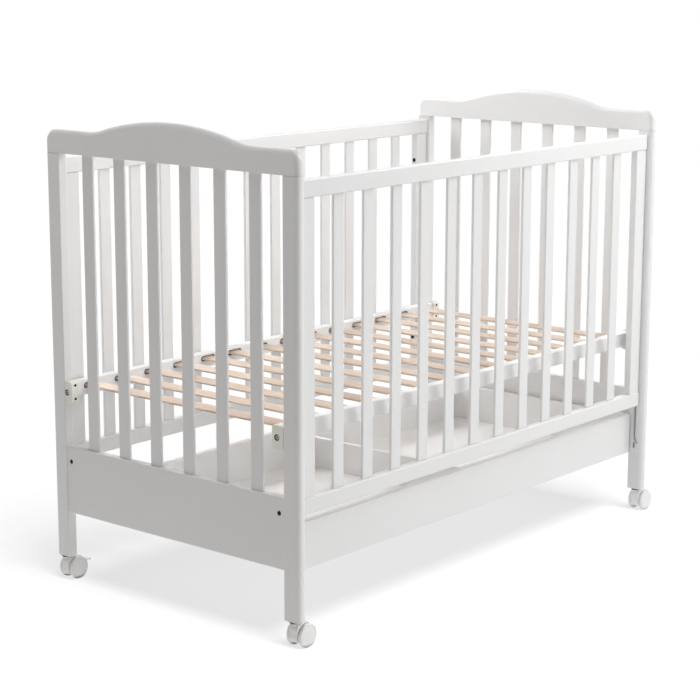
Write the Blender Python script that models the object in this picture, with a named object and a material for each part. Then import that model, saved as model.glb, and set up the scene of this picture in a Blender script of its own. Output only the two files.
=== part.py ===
"""Baby crib with a drop gate, an under-bed drawer, a slatted base and four twin-wheel casters.

Units are metres, +Z is up, X runs along the crib and the drop gate faces -Y.
Sizes are given about the middle of the crib; SHIFT_X moves everything so that the
bounding box's bottom centre is the origin.
"""
import math

import bmesh
import bpy
from mathutils import Matrix, Vector

# ---------------------------------------------------------------- sizes
LENGTH = 1.300          # over the two end frames
WIDTH = 0.710           # over the posts
GAP = 0.0003            # between pieces that touch
FRAME_T = 0.024         # thickness of posts and crowned rails, along X
POST_W = 0.040          # width of a post, along Y
POST_Z0 = 0.056
POST_Z1 = 0.9404
BULL = 0.0105           # rounding all round the outside of an end frame
SHOULDER_Z = 0.990
CROWN_RISE = 0.032
CROWN_HALF = 0.230      # from the middle to the end of the concave fillet
FILLET_R = 0.150
CORNER_R = 0.024
PANEL_T = 0.018
PANEL_Z0 = 0.1586
PANEL_Z1 = 0.3070
SLAT_W = 0.032
SLAT_T = 0.007
END_SLATS = 6
RAIL_T = 0.020          # gate and back rails, along Y
STILE_T = 0.017
STILE_W = 0.041
SIDE_Y = 0.332          # middle plane of the gate; the back side mirrors it
SIDE_TOP = (0.8955, 0.9315)
SIDE_BOTTOM = (0.2685, 0.3025)
SIDE_SLATS = 12
SIDE_PITCH = 0.092
GATE_CLEAR = 0.0015     # between the gate and each post
PIN_R = 0.0028
PIN_OUT = 0.0068
PIN_Z = (0.2855, 0.9150)
TRACK_Y = 0.0120
TRACK_Z = (0.1553, 0.9264)
BASE_RAIL_T = 0.020
BASE_RAIL_Z = (0.416, 0.450)
BASE_SLATS = 14
BASE_PITCH = 0.0904
BASE_SLAT_W = 0.042
BASE_SLAT_Z = 0.437
BASE_BACK = 0.0045      # the base lies this far back from the middle, clear of the gate
BRACKET_X = 0.6495
BRACKET_IN = 0.2895
BRACKET_Z = (0.4035, 0.4520)
BOLT_Z = 0.427
BOLT_HEAD_R = 0.0046
BOLT_RECESS = 0.0045
DRAWER_Z = (0.1477, 0.2455)
DRAWER_FRONT_T = 0.016
DRAWER_FACE_Y = -0.3195
DRAWER_END_GAP = 0.0022
DRAWER_SLOT_X = (0.6155, 0.6250)
DIVIDER_X = (-0.012, 0.0)
DIVIDER_TOP = 0.230
RUNNER_X0 = 0.6160
RUNNER_Y = (-0.285, 0.215)
DRAWER_SIDE_X = (0.6075, 0.6225)
DRAWER_BACK_Y = (0.212, 0.226)
DRAWER_FLOOR_Z = (0.154, 0.158)
RUNNER_Z = (0.194, 0.206)
WHEEL_R = 0.025
TRAIL = 0.0185
CASTER_W = 0.040        # over the outer faces of a pair of wheels
HOOD_R = 0.0262
HOOD_W = 0.0220
HOOD_TOP = 0.0512
HOOD_CORNER = 0.012      # rounding of the hood's square shoulder
COLLAR_R = 0.010
COLLAR_Z = (0.0403, 0.0557)
WHEEL_GAP = 0.0010      # between the hood and each wheel
PEDAL_X = 0.0205        # from the wheel axis to the pedal's pin
PEDAL_TIP = 0.0440
PEDAL_Z = 0.0320
PEDAL_W = 0.0170
STEM_R = 0.0055
STEM_TOP = 0.079

HL = LENGTH / 2
HW = WIDTH / 2
INNER_X = HL - FRAME_T
POST_IN = HW - POST_W
STEM_X = HL - FRAME_T / 2
STEM_Y = HW - POST_W / 2
PEDAL_OUT = TRAIL + PEDAL_TIP
SHIFT_X = -((STEM_X + PEDAL_OUT) - max(HL, STEM_X - TRAIL + HOOD_R)) / 2

for old in list(bpy.data.objects):
    bpy.data.objects.remove(old, do_unlink=True)

PARTS = bpy.data.collections.new("baby_crib")
TOOLS = bpy.data.collections.new("cutters")
bpy.context.scene.collection.children.link(PARTS)
bpy.context.scene.collection.children.link(TOOLS)


# ---------------------------------------------------------------- materials
def material(name, colour, roughness, metallic=0.0):
    mat = bpy.data.materials.new(name)
    mat.use_nodes = True
    shader = mat.node_tree.nodes["Principled BSDF"]
    shader.inputs["Base Color"].default_value = (*colour, 1.0)
    shader.inputs["Roughness"].default_value = roughness
    shader.inputs["Metallic"].default_value = metallic
    mat.diffuse_color = (*colour, 1.0)
    return mat


WHITE = material("lacquered_wood", (0.80, 0.79, 0.77), 0.35)
BEECH = material("beech", (0.78, 0.58, 0.40), 0.55)
BOARD = material("white_board", (0.78, 0.77, 0.76), 0.50)
CREAM = material("cream_plastic", (0.70, 0.71, 0.62), 0.45)
PLASTIC = material("white_plastic", (0.74, 0.73, 0.70), 0.40)
STEEL = material("dark_steel", (0.10, 0.10, 0.10), 0.40, 0.9)


# ---------------------------------------------------------------- helpers
def finish_mesh(bm, name):
    bmesh.ops.recalc_face_normals(bm, faces=bm.faces)
    mesh = bpy.data.meshes.new(name)
    bm.to_mesh(mesh)
    bm.free()
    return mesh


def place(name, bm, centre, mat, parent=None, tool=False):
    """An object whose origin is at centre, in the parts' or the cutters' collection."""
    obj = bpy.data.objects.new(name, finish_mesh(bm, name))
    obj.location = (centre[0] + SHIFT_X, centre[1], centre[2])
    (TOOLS if tool else PARTS).objects.link(obj)
    if tool:
        obj.hide_render = True
        obj.display_type = "WIRE"
        return obj
    obj.data.materials.append(mat)
    if parent is not None:
        obj.parent = parent
        obj.matrix_parent_inverse = Matrix.Translation(-parent.location)
    return obj


def along(edge, axis):
    way = edge.verts[0].co - edge.verts[1].co
    return abs(way[axis]) > 0.999 * way.length


def box_mesh(size):
    bm = bmesh.new()
    bmesh.ops.create_cube(bm, size=1.0)
    bmesh.ops.scale(bm, vec=Vector(size), verts=bm.verts)
    return bm


def soften(bm, edges, width, segments):
    bmesh.ops.bevel(bm, geom=list(edges), offset=width, segments=segments, profile=0.5,
                    affect="EDGES", clamp_overlap=True)


def bar(name, xs, ys, zs, mat, long_axis=None, soft=0.0015, segments=1, parent=None, tool=False):
    """A box between the given limits, with its long edges (or all its edges) rounded."""
    size = (xs[1] - xs[0], ys[1] - ys[0], zs[1] - zs[0])
    bm = box_mesh(size)
    if soft:
        edges = [e for e in bm.edges if long_axis is None or along(e, long_axis)]
        soften(bm, edges, soft, segments)
    centre = [(a + b) / 2 for a, b in (xs, ys, zs)]
    return place(name, bm, centre, mat, parent, tool)


def rod(name, centre, radius, length, axis, mat=None, sides=24, soft=0.0, parent=None,
        tool=False, turn=0.0):
    """A cylinder about centre, along axis 0, 1 or 2."""
    bm = bmesh.new()
    bmesh.ops.create_cone(bm, cap_ends=True, segments=sides, radius1=radius, radius2=radius,
                          depth=length)
    bmesh.ops.rotate(bm, cent=(0, 0, 0), matrix=Matrix.Rotation(turn, 3, "Z"), verts=bm.verts)
    if soft:
        rims = [e for e in bm.edges if abs(e.verts[0].co.z - e.verts[1].co.z) < 1e-6]
        soften(bm, rims, soft, 2)
    if axis == 0:
        bmesh.ops.rotate(bm, cent=(0, 0, 0), matrix=Matrix.Rotation(math.pi / 2, 3, "Y"),
                         verts=bm.verts)
    if axis == 1:
        bmesh.ops.rotate(bm, cent=(0, 0, 0), matrix=Matrix.Rotation(math.pi / 2, 3, "X"),
                         verts=bm.verts)
    return place(name, bm, centre, mat, parent, tool)


def boolean(obj, tool, operation):
    mod = obj.modifiers.new(operation.lower(), "BOOLEAN")
    mod.object = tool
    mod.operation = operation
    mod.solver = "EXACT"


def empty(name, spot, parent=None):
    obj = bpy.data.objects.new(name, None)
    obj.location = (spot[0] + SHIFT_X, spot[1], spot[2])
    PARTS.objects.link(obj)
    if parent is not None:
        obj.parent = parent
        obj.matrix_parent_inverse = Matrix.Translation(-parent.location)
        obj.location = (spot[0] + SHIFT_X, spot[1], spot[2])
    return obj


def side_xs(sign, near, far):
    """Limits along X between two distances from the middle, on one side of it."""
    return (sign * near, sign * far) if sign > 0 else (sign * far, sign * near)


ENDS = (("left", -1), ("right", 1))
CORNERS = (("front_left", -1, -1), ("front_right", 1, -1), ("back_left", -1, 1),
           ("back_right", 1, 1))


# ---------------------------------------------------------------- end frames
def crown_outline():
    """The crowned rail's outline in Y and Z, from the lower right corner round to the left."""
    half = 2 * math.atan(CROWN_RISE / CROWN_HALF)
    crown_r = CROWN_HALF / math.sin(half) - FILLET_R
    top = SHOULDER_Z + CROWN_RISE
    right = [(HW, POST_Z1 + GAP)]
    for n in range(6):
        a = math.radians(90 * n / 5)
        right.append((HW - CORNER_R + CORNER_R * math.cos(a),
                      SHOULDER_Z - CORNER_R + CORNER_R * math.sin(a)))
    for n in range(5):
        a = half * n / 4
        right.append((CROWN_HALF - FILLET_R * math.sin(a),
                      SHOULDER_Z + FILLET_R * (1 - math.cos(a))))
    for n in range(1, 8):
        a = half * (1 - n / 8)
        right.append((crown_r * math.sin(a), top - crown_r * (1 - math.cos(a))))
    left = [(-y, z) for y, z in reversed(right)]
    return [*right, (0.0, top), *left]


def crowned_rail(side, sign):
    """The crowned top rail of one end, in one piece with its six slats."""
    bm = bmesh.new()
    x0 = sign * STEM_X
    mid = (POST_Z1 + SHOULDER_Z) / 2
    ring = [bm.verts.new((-FRAME_T / 2, y, z - mid)) for y, z in crown_outline()]
    edges = [bm.edges.new((a, b)) for a, b in zip(ring, [*ring[1:], ring[0]])]
    face = bmesh.ops.edgeloop_fill(bm, edges=edges)["faces"]
    grown = bmesh.ops.extrude_face_region(bm, geom=face)["geom"]
    moved = [v for v in grown if isinstance(v, bmesh.types.BMVert)]
    bmesh.ops.translate(bm, verts=moved, vec=(FRAME_T, 0, 0))
    low = POST_Z1 + GAP - mid
    rims = [e for e in bm.edges
            if abs(e.verts[0].co.x - e.verts[1].co.x) < 1e-9
            and not (e.verts[0].co.z < low + 1e-6 and e.verts[1].co.z < low + 1e-6)]
    soften(bm, rims, BULL, 3)
    rail = place(f"end_rail_{side}", bm, (x0, 0, mid), WHITE)
    gap = (2 * POST_IN - END_SLATS * SLAT_W) / (END_SLATS + 1)
    for n in range(END_SLATS):
        y = (n - (END_SLATS - 1) / 2) * (gap + SLAT_W)
        slat = bar(f"end_slat_{side}_{n + 1}", (x0 - SLAT_T / 2, x0 + SLAT_T / 2),
                   (y - SLAT_W / 2, y + SLAT_W / 2), (PANEL_Z1 + GAP, POST_Z1 + 0.008), WHITE,
                   2, 0.0022, 1, tool=True)
        boolean(rail, slat, "UNION")


def post(corner, sx, sy):
    """One post, rounded on its outside, bored for the caster and rebated for the track."""
    size = (FRAME_T, POST_W, POST_Z1 - POST_Z0)
    bm = box_mesh(size)
    outer = [e for e in bm.edges if along(e, 2) and e.verts[0].co.y * sy > 0]
    soften(bm, outer, BULL, 4)
    inner = [e for e in bm.edges if along(e, 2) and e.verts[0].co.y * sy < 0.001 - POST_W / 2]
    soften(bm, inner, 0.0015, 1)
    centre = (sx * STEM_X, sy * STEM_Y, (POST_Z0 + POST_Z1) / 2)
    obj = place(f"post_{corner}", bm, centre, WHITE)
    bore = rod(f"bore_{corner}", (sx * STEM_X, sy * STEM_Y, POST_Z0 + 0.0125), STEM_R + GAP,
               0.027, 2, tool=True)
    bore.location.z = POST_Z0 + 0.0115
    boolean(obj, bore, "DIFFERENCE")
    if sy < 0:
        rebate = bar(f"rebate_{corner}", side_xs(sx, INNER_X - 0.001, INNER_X + 0.0083),
                     (-SIDE_Y - TRACK_Y / 2 - GAP, -SIDE_Y + TRACK_Y / 2 + GAP),
                     (TRACK_Z[0] - GAP, TRACK_Z[1] + GAP), None, soft=0, tool=True)
        boolean(obj, rebate, "DIFFERENCE")


def track(side, sign):
    """The channel let into a front post, in which the gate's pins run."""
    obj = bar(f"gate_track_{side}", side_xs(sign, INNER_X + GAP, INNER_X + 0.008),
              (-SIDE_Y - TRACK_Y / 2, -SIDE_Y + TRACK_Y / 2), TRACK_Z, PLASTIC, soft=0)
    slot = bar(f"slot_{side}", side_xs(sign, INNER_X - 0.002, INNER_X + 0.0066),
               (-SIDE_Y - 0.0035, -SIDE_Y + 0.0035), (TRACK_Z[0] + 0.0045, TRACK_Z[1] - 0.003),
               None, soft=0, tool=True)
    boolean(obj, slot, "DIFFERENCE")


def lower_panel(side, sign):
    obj = bar(f"end_panel_{side}", side_xs(sign, HL - 0.002 - PANEL_T, HL - 0.002),
              (-POST_IN + GAP, POST_IN - GAP), (PANEL_Z0, PANEL_Z1), WHITE, 1, 0.002, 2)
    for n, y in enumerate((-0.302, 0.302)):
        hole = rod(f"panel_hole_{side}_{n}", (sign * (HL - 0.005), y, 0.274), 0.0045, 0.012, 0,
                   sides=16, tool=True)
        boolean(obj, hole, "DIFFERENCE")


# ---------------------------------------------------------------- long sides
def side_rail(name, reach, y, zs, parent=None):
    return bar(name, (-reach, reach), (y - RAIL_T / 2, y + RAIL_T / 2), zs, WHITE, 0, 0.003, 2,
               parent)


def side_stile(name, sign, reach, y, parent=None):
    return bar(name, side_xs(sign, reach - STILE_W, reach),
               (y - STILE_T / 2, y + STILE_T / 2), (SIDE_BOTTOM[1] + GAP, SIDE_TOP[0] - GAP),
               WHITE, 2, 0.002, 1, parent)


def side_slat(name, n, y, low, parent=None, tool=False):
    x = (n - (SIDE_SLATS - 1) / 2) * SIDE_PITCH
    return bar(name, (x - SLAT_W / 2, x + SLAT_W / 2), (y - SLAT_T / 2, y + SLAT_T / 2),
               (low, SIDE_TOP[0] - GAP), WHITE, 2, 0.0022, 1, parent, tool)


def gate():
    """The drop gate: it slides down in the two tracks on four pins."""
    hold = empty("gate", (0, -SIDE_Y, PIN_Z[0]))
    reach = INNER_X - GATE_CLEAR
    for name, zs, pin_z in (("gate_top_rail", SIDE_TOP, PIN_Z[1]),
                            ("gate_bottom_rail", SIDE_BOTTOM, PIN_Z[0])):
        rail = side_rail(name, reach, -SIDE_Y, zs, hold)
        for side, sign in ENDS:
            pin = rod(f"{name}_pin_{side}", (sign * (reach + PIN_OUT / 2 - 0.003), -SIDE_Y, pin_z),
                      PIN_R, PIN_OUT + 0.006, 0, sides=16, tool=True)
            boolean(rail, pin, "UNION")
    for side, sign in ENDS:
        side_stile(f"gate_stile_{side}", sign, reach, -SIDE_Y, hold)
    for n in range(SIDE_SLATS):
        side_slat(f"gate_slat_{n + 1:02d}", n, -SIDE_Y, SIDE_BOTTOM[1] + GAP, hold)


def back_side():
    """The fixed side, with its slats in one piece with the lower rail."""
    reach = INNER_X - GAP
    side_rail("back_top_rail", reach, SIDE_Y, SIDE_TOP)
    row = side_rail("back_slat_row", reach, SIDE_Y, SIDE_BOTTOM)
    for n in range(SIDE_SLATS):
        slat = side_slat(f"back_slat_{n + 1:02d}", n, SIDE_Y, SIDE_BOTTOM[1] - 0.008, tool=True)
        boolean(row, slat, "UNION")
    for side, sign in ENDS:
        stile = side_stile(f"back_stile_{side}", sign, reach, SIDE_Y)
        for n, z in enumerate((0.360, 0.828)):
            hole = rod(f"stile_hole_{side}_{n}", (sign * (reach - STILE_W + 0.004), SIDE_Y, z),
                       0.0042, 0.012, 0, sides=16, tool=True)
            boolean(stile, hole, "DIFFERENCE")


# ---------------------------------------------------------------- slatted base
def base():
    """Two long rails and the slats, which are in one piece with the back rail."""
    reach = INNER_X - 0.0005
    outer = POST_IN - 0.002
    inner = outer - BASE_RAIL_T
    front = bar("base_front_rail", (-reach, reach), (BASE_BACK - outer, BASE_BACK - inner),
                BASE_RAIL_Z, WHITE, 0, 0.002, 1)
    row = bar("base_slat_row", (-reach, reach), (BASE_BACK + inner, BASE_BACK + outer),
              BASE_RAIL_Z, WHITE, 0, 0.002, 1)
    for n in range(BASE_SLATS):
        x = (n - (BASE_SLATS - 1) / 2) * BASE_PITCH
        slat = bar(f"base_slat_{n + 1:02d}", (x - BASE_SLAT_W / 2, x + BASE_SLAT_W / 2),
                   (BASE_BACK - inner + GAP, BASE_BACK + inner + 0.008),
                   (BASE_SLAT_Z - SLAT_T / 2, BASE_SLAT_Z + SLAT_T / 2), BEECH, 1, 0.0022, 1,
                   tool=True)
        boolean(row, slat, "UNION")
    for corner, sx, sy in CORNERS:
        hole = rod(f"rail_hole_{corner}",
                   (sx * (reach - 0.008), BASE_BACK + sy * (inner + outer) / 2, BOLT_Z),
                   0.0033, 0.024, 0, sides=16, tool=True)
        boolean(front if sy < 0 else row, hole, "DIFFERENCE")


def bracket(corner, sx, sy):
    """The moulded block on a post that carries one corner of the base, and its sunk bolt."""
    y = BASE_BACK + sy * (POST_IN - 0.002 - BASE_RAIL_T / 2)
    ys = sorted((sy * (POST_IN - GAP), BASE_BACK + sy * BRACKET_IN))
    obj = bar(f"base_bracket_{corner}", side_xs(sx, INNER_X + GAP, BRACKET_X), ys, BRACKET_Z,
              CREAM, 0, 0.005, 3)
    hole = rod(f"bracket_hole_{corner}", (sx * 0.636, y, BOLT_Z), 0.0033, 0.040, 0,
               sides=16, tool=True)
    recess = rod(f"bracket_recess_{corner}", (sx * BRACKET_X, y, BOLT_Z), 0.0058,
                 2 * BOLT_RECESS, 0, sides=20, tool=True)
    boolean(obj, hole, "DIFFERENCE")
    boolean(obj, recess, "DIFFERENCE")
    head_x = BRACKET_X - BOLT_RECESS + GAP + 0.00175
    head = rod(f"base_bolt_{corner}", (sx * head_x, y, BOLT_Z), BOLT_HEAD_R, 0.0035, 0, STEEL,
               12)
    shank = rod(f"bolt_shank_{corner}", (sx * 0.6285, y, BOLT_Z), 0.003, 0.036, 0,
                sides=16, tool=True)
    boolean(head, shank, "UNION")


# ---------------------------------------------------------------- drawer
def drawer():
    """The under-bed drawer, which slides out towards -Y under the gate."""
    hold = empty("drawer", (0, 0, (RUNNER_Z[0] + RUNNER_Z[1]) / 2))
    ys = (DRAWER_FACE_Y, DRAWER_FACE_Y + DRAWER_FRONT_T)
    start = ys[1] + GAP
    inner = DRAWER_SIDE_X[0] - GAP
    end = INNER_X - DRAWER_END_GAP
    bar("drawer_front", (-end, end), ys, DRAWER_Z, WHITE, None, 0.0015, 1, hold)
    for side, sign in ENDS:
        wall = bar(f"drawer_side_{side}", side_xs(sign, *DRAWER_SIDE_X), (start, DRAWER_BACK_Y[1]),
                   DRAWER_Z, BOARD, None, 0, 1, hold)
        slot = bar(f"drawer_slot_{side}", side_xs(sign, *DRAWER_SLOT_X), (start + 0.006, 0.24),
                   (RUNNER_Z[0] - 0.0005, RUNNER_Z[1] + 0.0005), None, soft=0, tool=True)
        boolean(wall, slot, "DIFFERENCE")
        bar(f"drawer_runner_{side}", side_xs(sign, RUNNER_X0, HL - 0.002 - PANEL_T - GAP),
            RUNNER_Y, RUNNER_Z, PLASTIC, 1, 0.001, 1)
    bar("drawer_back", (-inner, inner), DRAWER_BACK_Y, DRAWER_Z, BOARD, None, 0, 1, hold)
    inside = (start, DRAWER_BACK_Y[0] - GAP)
    bar("drawer_floor", (-inner, inner), inside, DRAWER_FLOOR_Z, BOARD, None, 0, 1, hold)
    bar("drawer_divider", DIVIDER_X, inside, (DRAWER_FLOOR_Z[1] + GAP, DIVIDER_TOP), BOARD, None,
        0, 1, hold)


# ---------------------------------------------------------------- casters
def brake_pedal(corner, spot, hood, hold):
    """A pedal on its pin, and the notch for it in the hood."""
    wheel_x, y = spot
    notch_y = PEDAL_W / 2 + 0.0006
    notch = bar(f"notch_{corner}", (wheel_x + PEDAL_X - 0.0035, wheel_x + PEDAL_TIP),
                (y - notch_y, y + notch_y), (PEDAL_Z - 0.0070, PEDAL_Z + 0.0050), None, soft=0,
                tool=True)
    boolean(hood, notch, "DIFFERENCE")
    pedal = rod(f"caster_brake_{corner}", (wheel_x + PEDAL_X, y, PEDAL_Z), 0.003, PEDAL_W, 1,
                PLASTIC, 16, 0.0, hold)
    tab_y = PEDAL_W / 2 - 0.0002
    tab = bar(f"tab_{corner}", (wheel_x + PEDAL_X, wheel_x + PEDAL_TIP), (y - tab_y, y + tab_y),
              (PEDAL_Z - 0.0005, PEDAL_Z + 0.0025), None, soft=0, tool=True)
    boolean(pedal, tab, "UNION")


def caster(corner, sx, sy):
    """A swivelling hood and its stem, a wheel on each side on one axle, and at the back a brake."""
    x, y = sx * STEM_X, sy * STEM_Y
    wheel_x = x + TRAIL
    hold = empty(f"caster_{corner}", (x, y, POST_Z0))
    turn = math.pi / 28
    hood = rod(f"caster_hood_{corner}", (wheel_x, y, WHEEL_R), HOOD_R, HOOD_W, 1, PLASTIC, 28,
               0.0, hold, False, turn)
    shoulder = bar(f"shoulder_{corner}", (wheel_x - HOOD_R, wheel_x + HOOD_CORNER),
                   (y - HOOD_W / 2 + 0.0004, y + HOOD_W / 2 - 0.0004),
                   (WHEEL_R - 0.006, HOOD_TOP), None, 1,
                   HOOD_CORNER, 4, tool=True)
    boolean(hood, shoulder, "UNION")
    collar = rod(f"collar_{corner}", (x, y, sum(COLLAR_Z) / 2), COLLAR_R,
                 COLLAR_Z[1] - COLLAR_Z[0], 2, sides=20, tool=True)
    stem = rod(f"stem_{corner}", (x, y, (0.050 + STEM_TOP) / 2), STEM_R, STEM_TOP - 0.050, 2,
               sides=20, tool=True)
    boolean(hood, collar, "UNION")
    boolean(hood, stem, "UNION")
    foot = bar(f"foot_{corner}", (wheel_x - 0.04, wheel_x + 0.04), (y - 0.012, y + 0.012),
               (-0.012, 0.013), None, soft=0, tool=True)
    boolean(hood, foot, "DIFFERENCE")
    axle_hole = rod(f"axle_hole_{corner}", (wheel_x, y, WHEEL_R), 0.0043, 0.03, 1, sides=20,
                    tool=True)
    boolean(hood, axle_hole, "DIFFERENCE")
    if sy > 0:
        brake_pedal(corner, (wheel_x, y), hood, hold)
    wheels = rod(f"caster_wheels_{corner}", (wheel_x, y, WHEEL_R), WHEEL_R, CASTER_W, 1,
                 PLASTIC, 32, 0.002, hold)
    groove_tool = rod(f"wheel_gap_{corner}", (wheel_x, y, WHEEL_R), 0.03,
                      HOOD_W + 2 * WHEEL_GAP, 1, sides=20, tool=True)
    boolean(wheels, groove_tool, "DIFFERENCE")
    axle = rod(f"axle_{corner}", (wheel_x, y, WHEEL_R), 0.0040, CASTER_W - 0.006, 1, sides=20,
               tool=True)
    boolean(wheels, axle, "UNION")


for side_name, side_sign in ENDS:
    crowned_rail(side_name, side_sign)
    lower_panel(side_name, side_sign)
    track(side_name, side_sign)
for corner_name, corner_x, corner_y in CORNERS:
    post(corner_name, corner_x, corner_y)
gate()
back_side()
base()
for corner_name, corner_x, corner_y in CORNERS:
    bracket(corner_name, corner_x, corner_y)
drawer()
for corner_name, corner_x, corner_y in CORNERS:
    caster(corner_name, corner_x, corner_y)
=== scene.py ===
"""The looks of a white baby crib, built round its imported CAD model."""
import math

import bmesh
import bpy
from mathutils import Matrix, Vector


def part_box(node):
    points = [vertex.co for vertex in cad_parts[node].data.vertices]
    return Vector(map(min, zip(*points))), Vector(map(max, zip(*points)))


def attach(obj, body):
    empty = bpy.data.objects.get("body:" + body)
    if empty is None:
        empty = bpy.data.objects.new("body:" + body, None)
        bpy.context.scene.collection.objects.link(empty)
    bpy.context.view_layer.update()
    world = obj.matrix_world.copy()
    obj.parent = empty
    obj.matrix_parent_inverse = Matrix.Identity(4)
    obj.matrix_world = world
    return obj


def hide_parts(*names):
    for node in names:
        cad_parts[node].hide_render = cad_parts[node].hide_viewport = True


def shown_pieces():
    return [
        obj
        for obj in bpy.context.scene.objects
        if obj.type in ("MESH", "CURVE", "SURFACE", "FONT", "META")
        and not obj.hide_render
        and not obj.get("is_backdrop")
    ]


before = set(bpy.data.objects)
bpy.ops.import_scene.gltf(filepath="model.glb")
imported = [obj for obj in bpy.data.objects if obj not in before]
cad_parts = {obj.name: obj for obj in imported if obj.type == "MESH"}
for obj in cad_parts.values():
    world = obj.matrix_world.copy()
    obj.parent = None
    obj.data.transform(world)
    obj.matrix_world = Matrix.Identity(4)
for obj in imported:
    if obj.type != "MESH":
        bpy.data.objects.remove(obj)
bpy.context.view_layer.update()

MID_X = (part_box("post_front_left")[0].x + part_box("post_front_right")[1].x) / 2
ENDS = (("left", -1), ("right", 1))
CORNERS = (("front_left", -1, -1), ("front_right", 1, -1), ("back_left", -1, 1),
           ("back_right", 1, 1))

# ---------------------------------------------------------------- sizes, in metres
SLAT_W = 0.032              # slats of the ends, the gate and the back
SLAT_T = 0.007
SLAT_ROUND = 0.0024
END_SLATS = 6
SIDE_SLATS = 12
SIDE_PITCH = 0.092
BULL = 0.0105               # rounding of posts and crowned rails
CROWN_RISE = 0.032
CROWN_HALF = 0.230          # from the middle to the end of the hollow fillet
FILLET_R = 0.150
CORNER_R = 0.024
JOINT_RELIEF = 0.0003       # the fine line where a rail meets a post
JOINT_CHAMFER = 0.0007
POST_EASE = 0.0030          # the post's inner long edges
PANEL_BOLT_Y = 0.302
PANEL_BOLT_Z = 0.274
STILE_BOLT_Z = (0.360, 0.828)
GROOVE_W = 0.0090           # the gate's channel in a front post
GROOVE_DEEP = 0.0032
SLIT_W = 0.0036
SLIT_DEEP = 0.0110
HOOK_TURN = -24.0           # degrees
PIN_R = 0.0028
CATCH_Z = (0.424, 0.441)
BASE_SLATS = 14
BASE_PITCH = 0.0904
BASE_SLAT_Z = 0.437
BASE_SLAT_W = 0.0405
BASE_SLAT_T = 0.0080
BASE_SLAT_EDGE = 0.0052
SOCKET_W = 0.0460
SOCKET_H = 0.0125
SOCKET_DEEP = 0.008
BRACKET_ROUND = 0.0070
BRACKET_SCREW_Z = 0.0150    # above and below the bracket's middle
BOLT_HOLE_R = 0.0066
RUNNER_CLEAR = 0.0005       # round a runner in its groove
HOOD_W = 0.0220
HOOD_CORNER = 0.0120        # rounding of the hood's square shoulder
HOOD_FOOT = 0.013           # the hood ends this far above the floor
WHEEL_GAP = 0.0010          # between the hood and each wheel
AXLE_R = 0.0040
PEDAL_PIN_R = 0.0030

# ---------------------------------------------------------------- studio settings
FLOOR_HALF = 30.0
FLOOR_GLOW = 0.722          # what the camera sees of the floor, besides its share of light
FLOOR_SHADE = 0.15
FILL = 0.025
PLAIN = (1.0, 1.0, 1.0)
WARM = (1.0, 0.87, 0.80)
COOL = (0.985, 0.995, 1.0)
# pieces lit with the crib's back because they are mostly seen from behind
SEEN_FROM_BEHIND = ("gate", "guide_pin", "drawer_front", "drawer_back", "runner", "base_")
# name, what it lights, spot, target, size, power, tint
SOFTBOXES = (
    ("near_softbox", "crib", (0.7, -1.4, 2.0), (0.3, 0.0, 0.6), (1.2, 1.2), 14.3, PLAIN),
    ("corner_softbox", "crib", (1.6, -1.7, 1.6), (0.3, 0.0, 0.6), (1.2, 1.4), 11.5, PLAIN),
    ("front_softbox", "crib", (0.5, -3.6, 1.7), (0.0, 0.0, 0.5), (2.4, 2.0), 7.6, PLAIN),
    ("low_softbox", "crib", (0.0, -2.2, 0.35), (0.0, 0.0, 0.25), (3.0, 0.6), 6.7, PLAIN),
    ("overhead_softbox", "crib", (-0.9, -0.6, 2.7), (0.0, 0.0, 0.5), (1.6, 1.6), 16.5, PLAIN),
    ("high_end_softbox", "crib", (-2.4, 1.2, 2.8), (0.0, 0.0, 0.5), (1.8, 1.8), 7.8, PLAIN),
    ("end_softbox", "left", (-3.2, 2.4, 1.1), (0.0, 0.0, 0.5), (2.0, 2.0), 10.5, WARM),
    ("inner_softbox", "not_left", (-3.2, 2.4, 1.1), (0.0, 0.0, 0.5), (2.0, 2.0), 26.0, PLAIN),
    ("right_softbox", "not_right", (3.2, 0.2, 1.6), (0.0, 0.0, 0.5), (2.0, 2.0), 67.0, PLAIN),
    ("right_end_softbox", "right", (3.2, 0.2, 1.6), (0.0, 0.0, 0.5), (2.0, 2.0), 28.0, PLAIN),
    ("back_softbox", "not_back", (0.2, 3.2, 2.2), (0.0, 0.0, 0.5), (2.4, 2.0), 250.8, COOL),
    ("back_side_softbox", "back", (0.2, 3.2, 2.2), (0.0, 0.0, 0.5), (5.0, 3.0), 75.0, COOL),
    ("top_softbox", "top", (0.1, 0.45, 3.1), (0.0, 0.1, 0.5), (1.6, 1.0), 24.5, PLAIN),
    ("floor_glow", "crib", (0.3, -0.2, 0.002), (0.3, -0.2, 3.0), (5.0, 5.0), 38.5, PLAIN),
)
# name, what it lights, direction, angle across in degrees, strength
SUNS = (
    ("key", "crib", (-0.65, 0.55, -0.55), 24.0, 0.493),
    ("floor_wash", "floor", (0.12, 0.50, -1.0), 28.0, 7.0),
)
LENS = 98.66
CAMERA_TURN = (50.121, -11.625, 0.138)     # yaw, pitch and roll in degrees
CAMERA_SPOT = (-3.3444, -2.7356, 1.3487)   # X is measured from the middle of the crib


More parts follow.
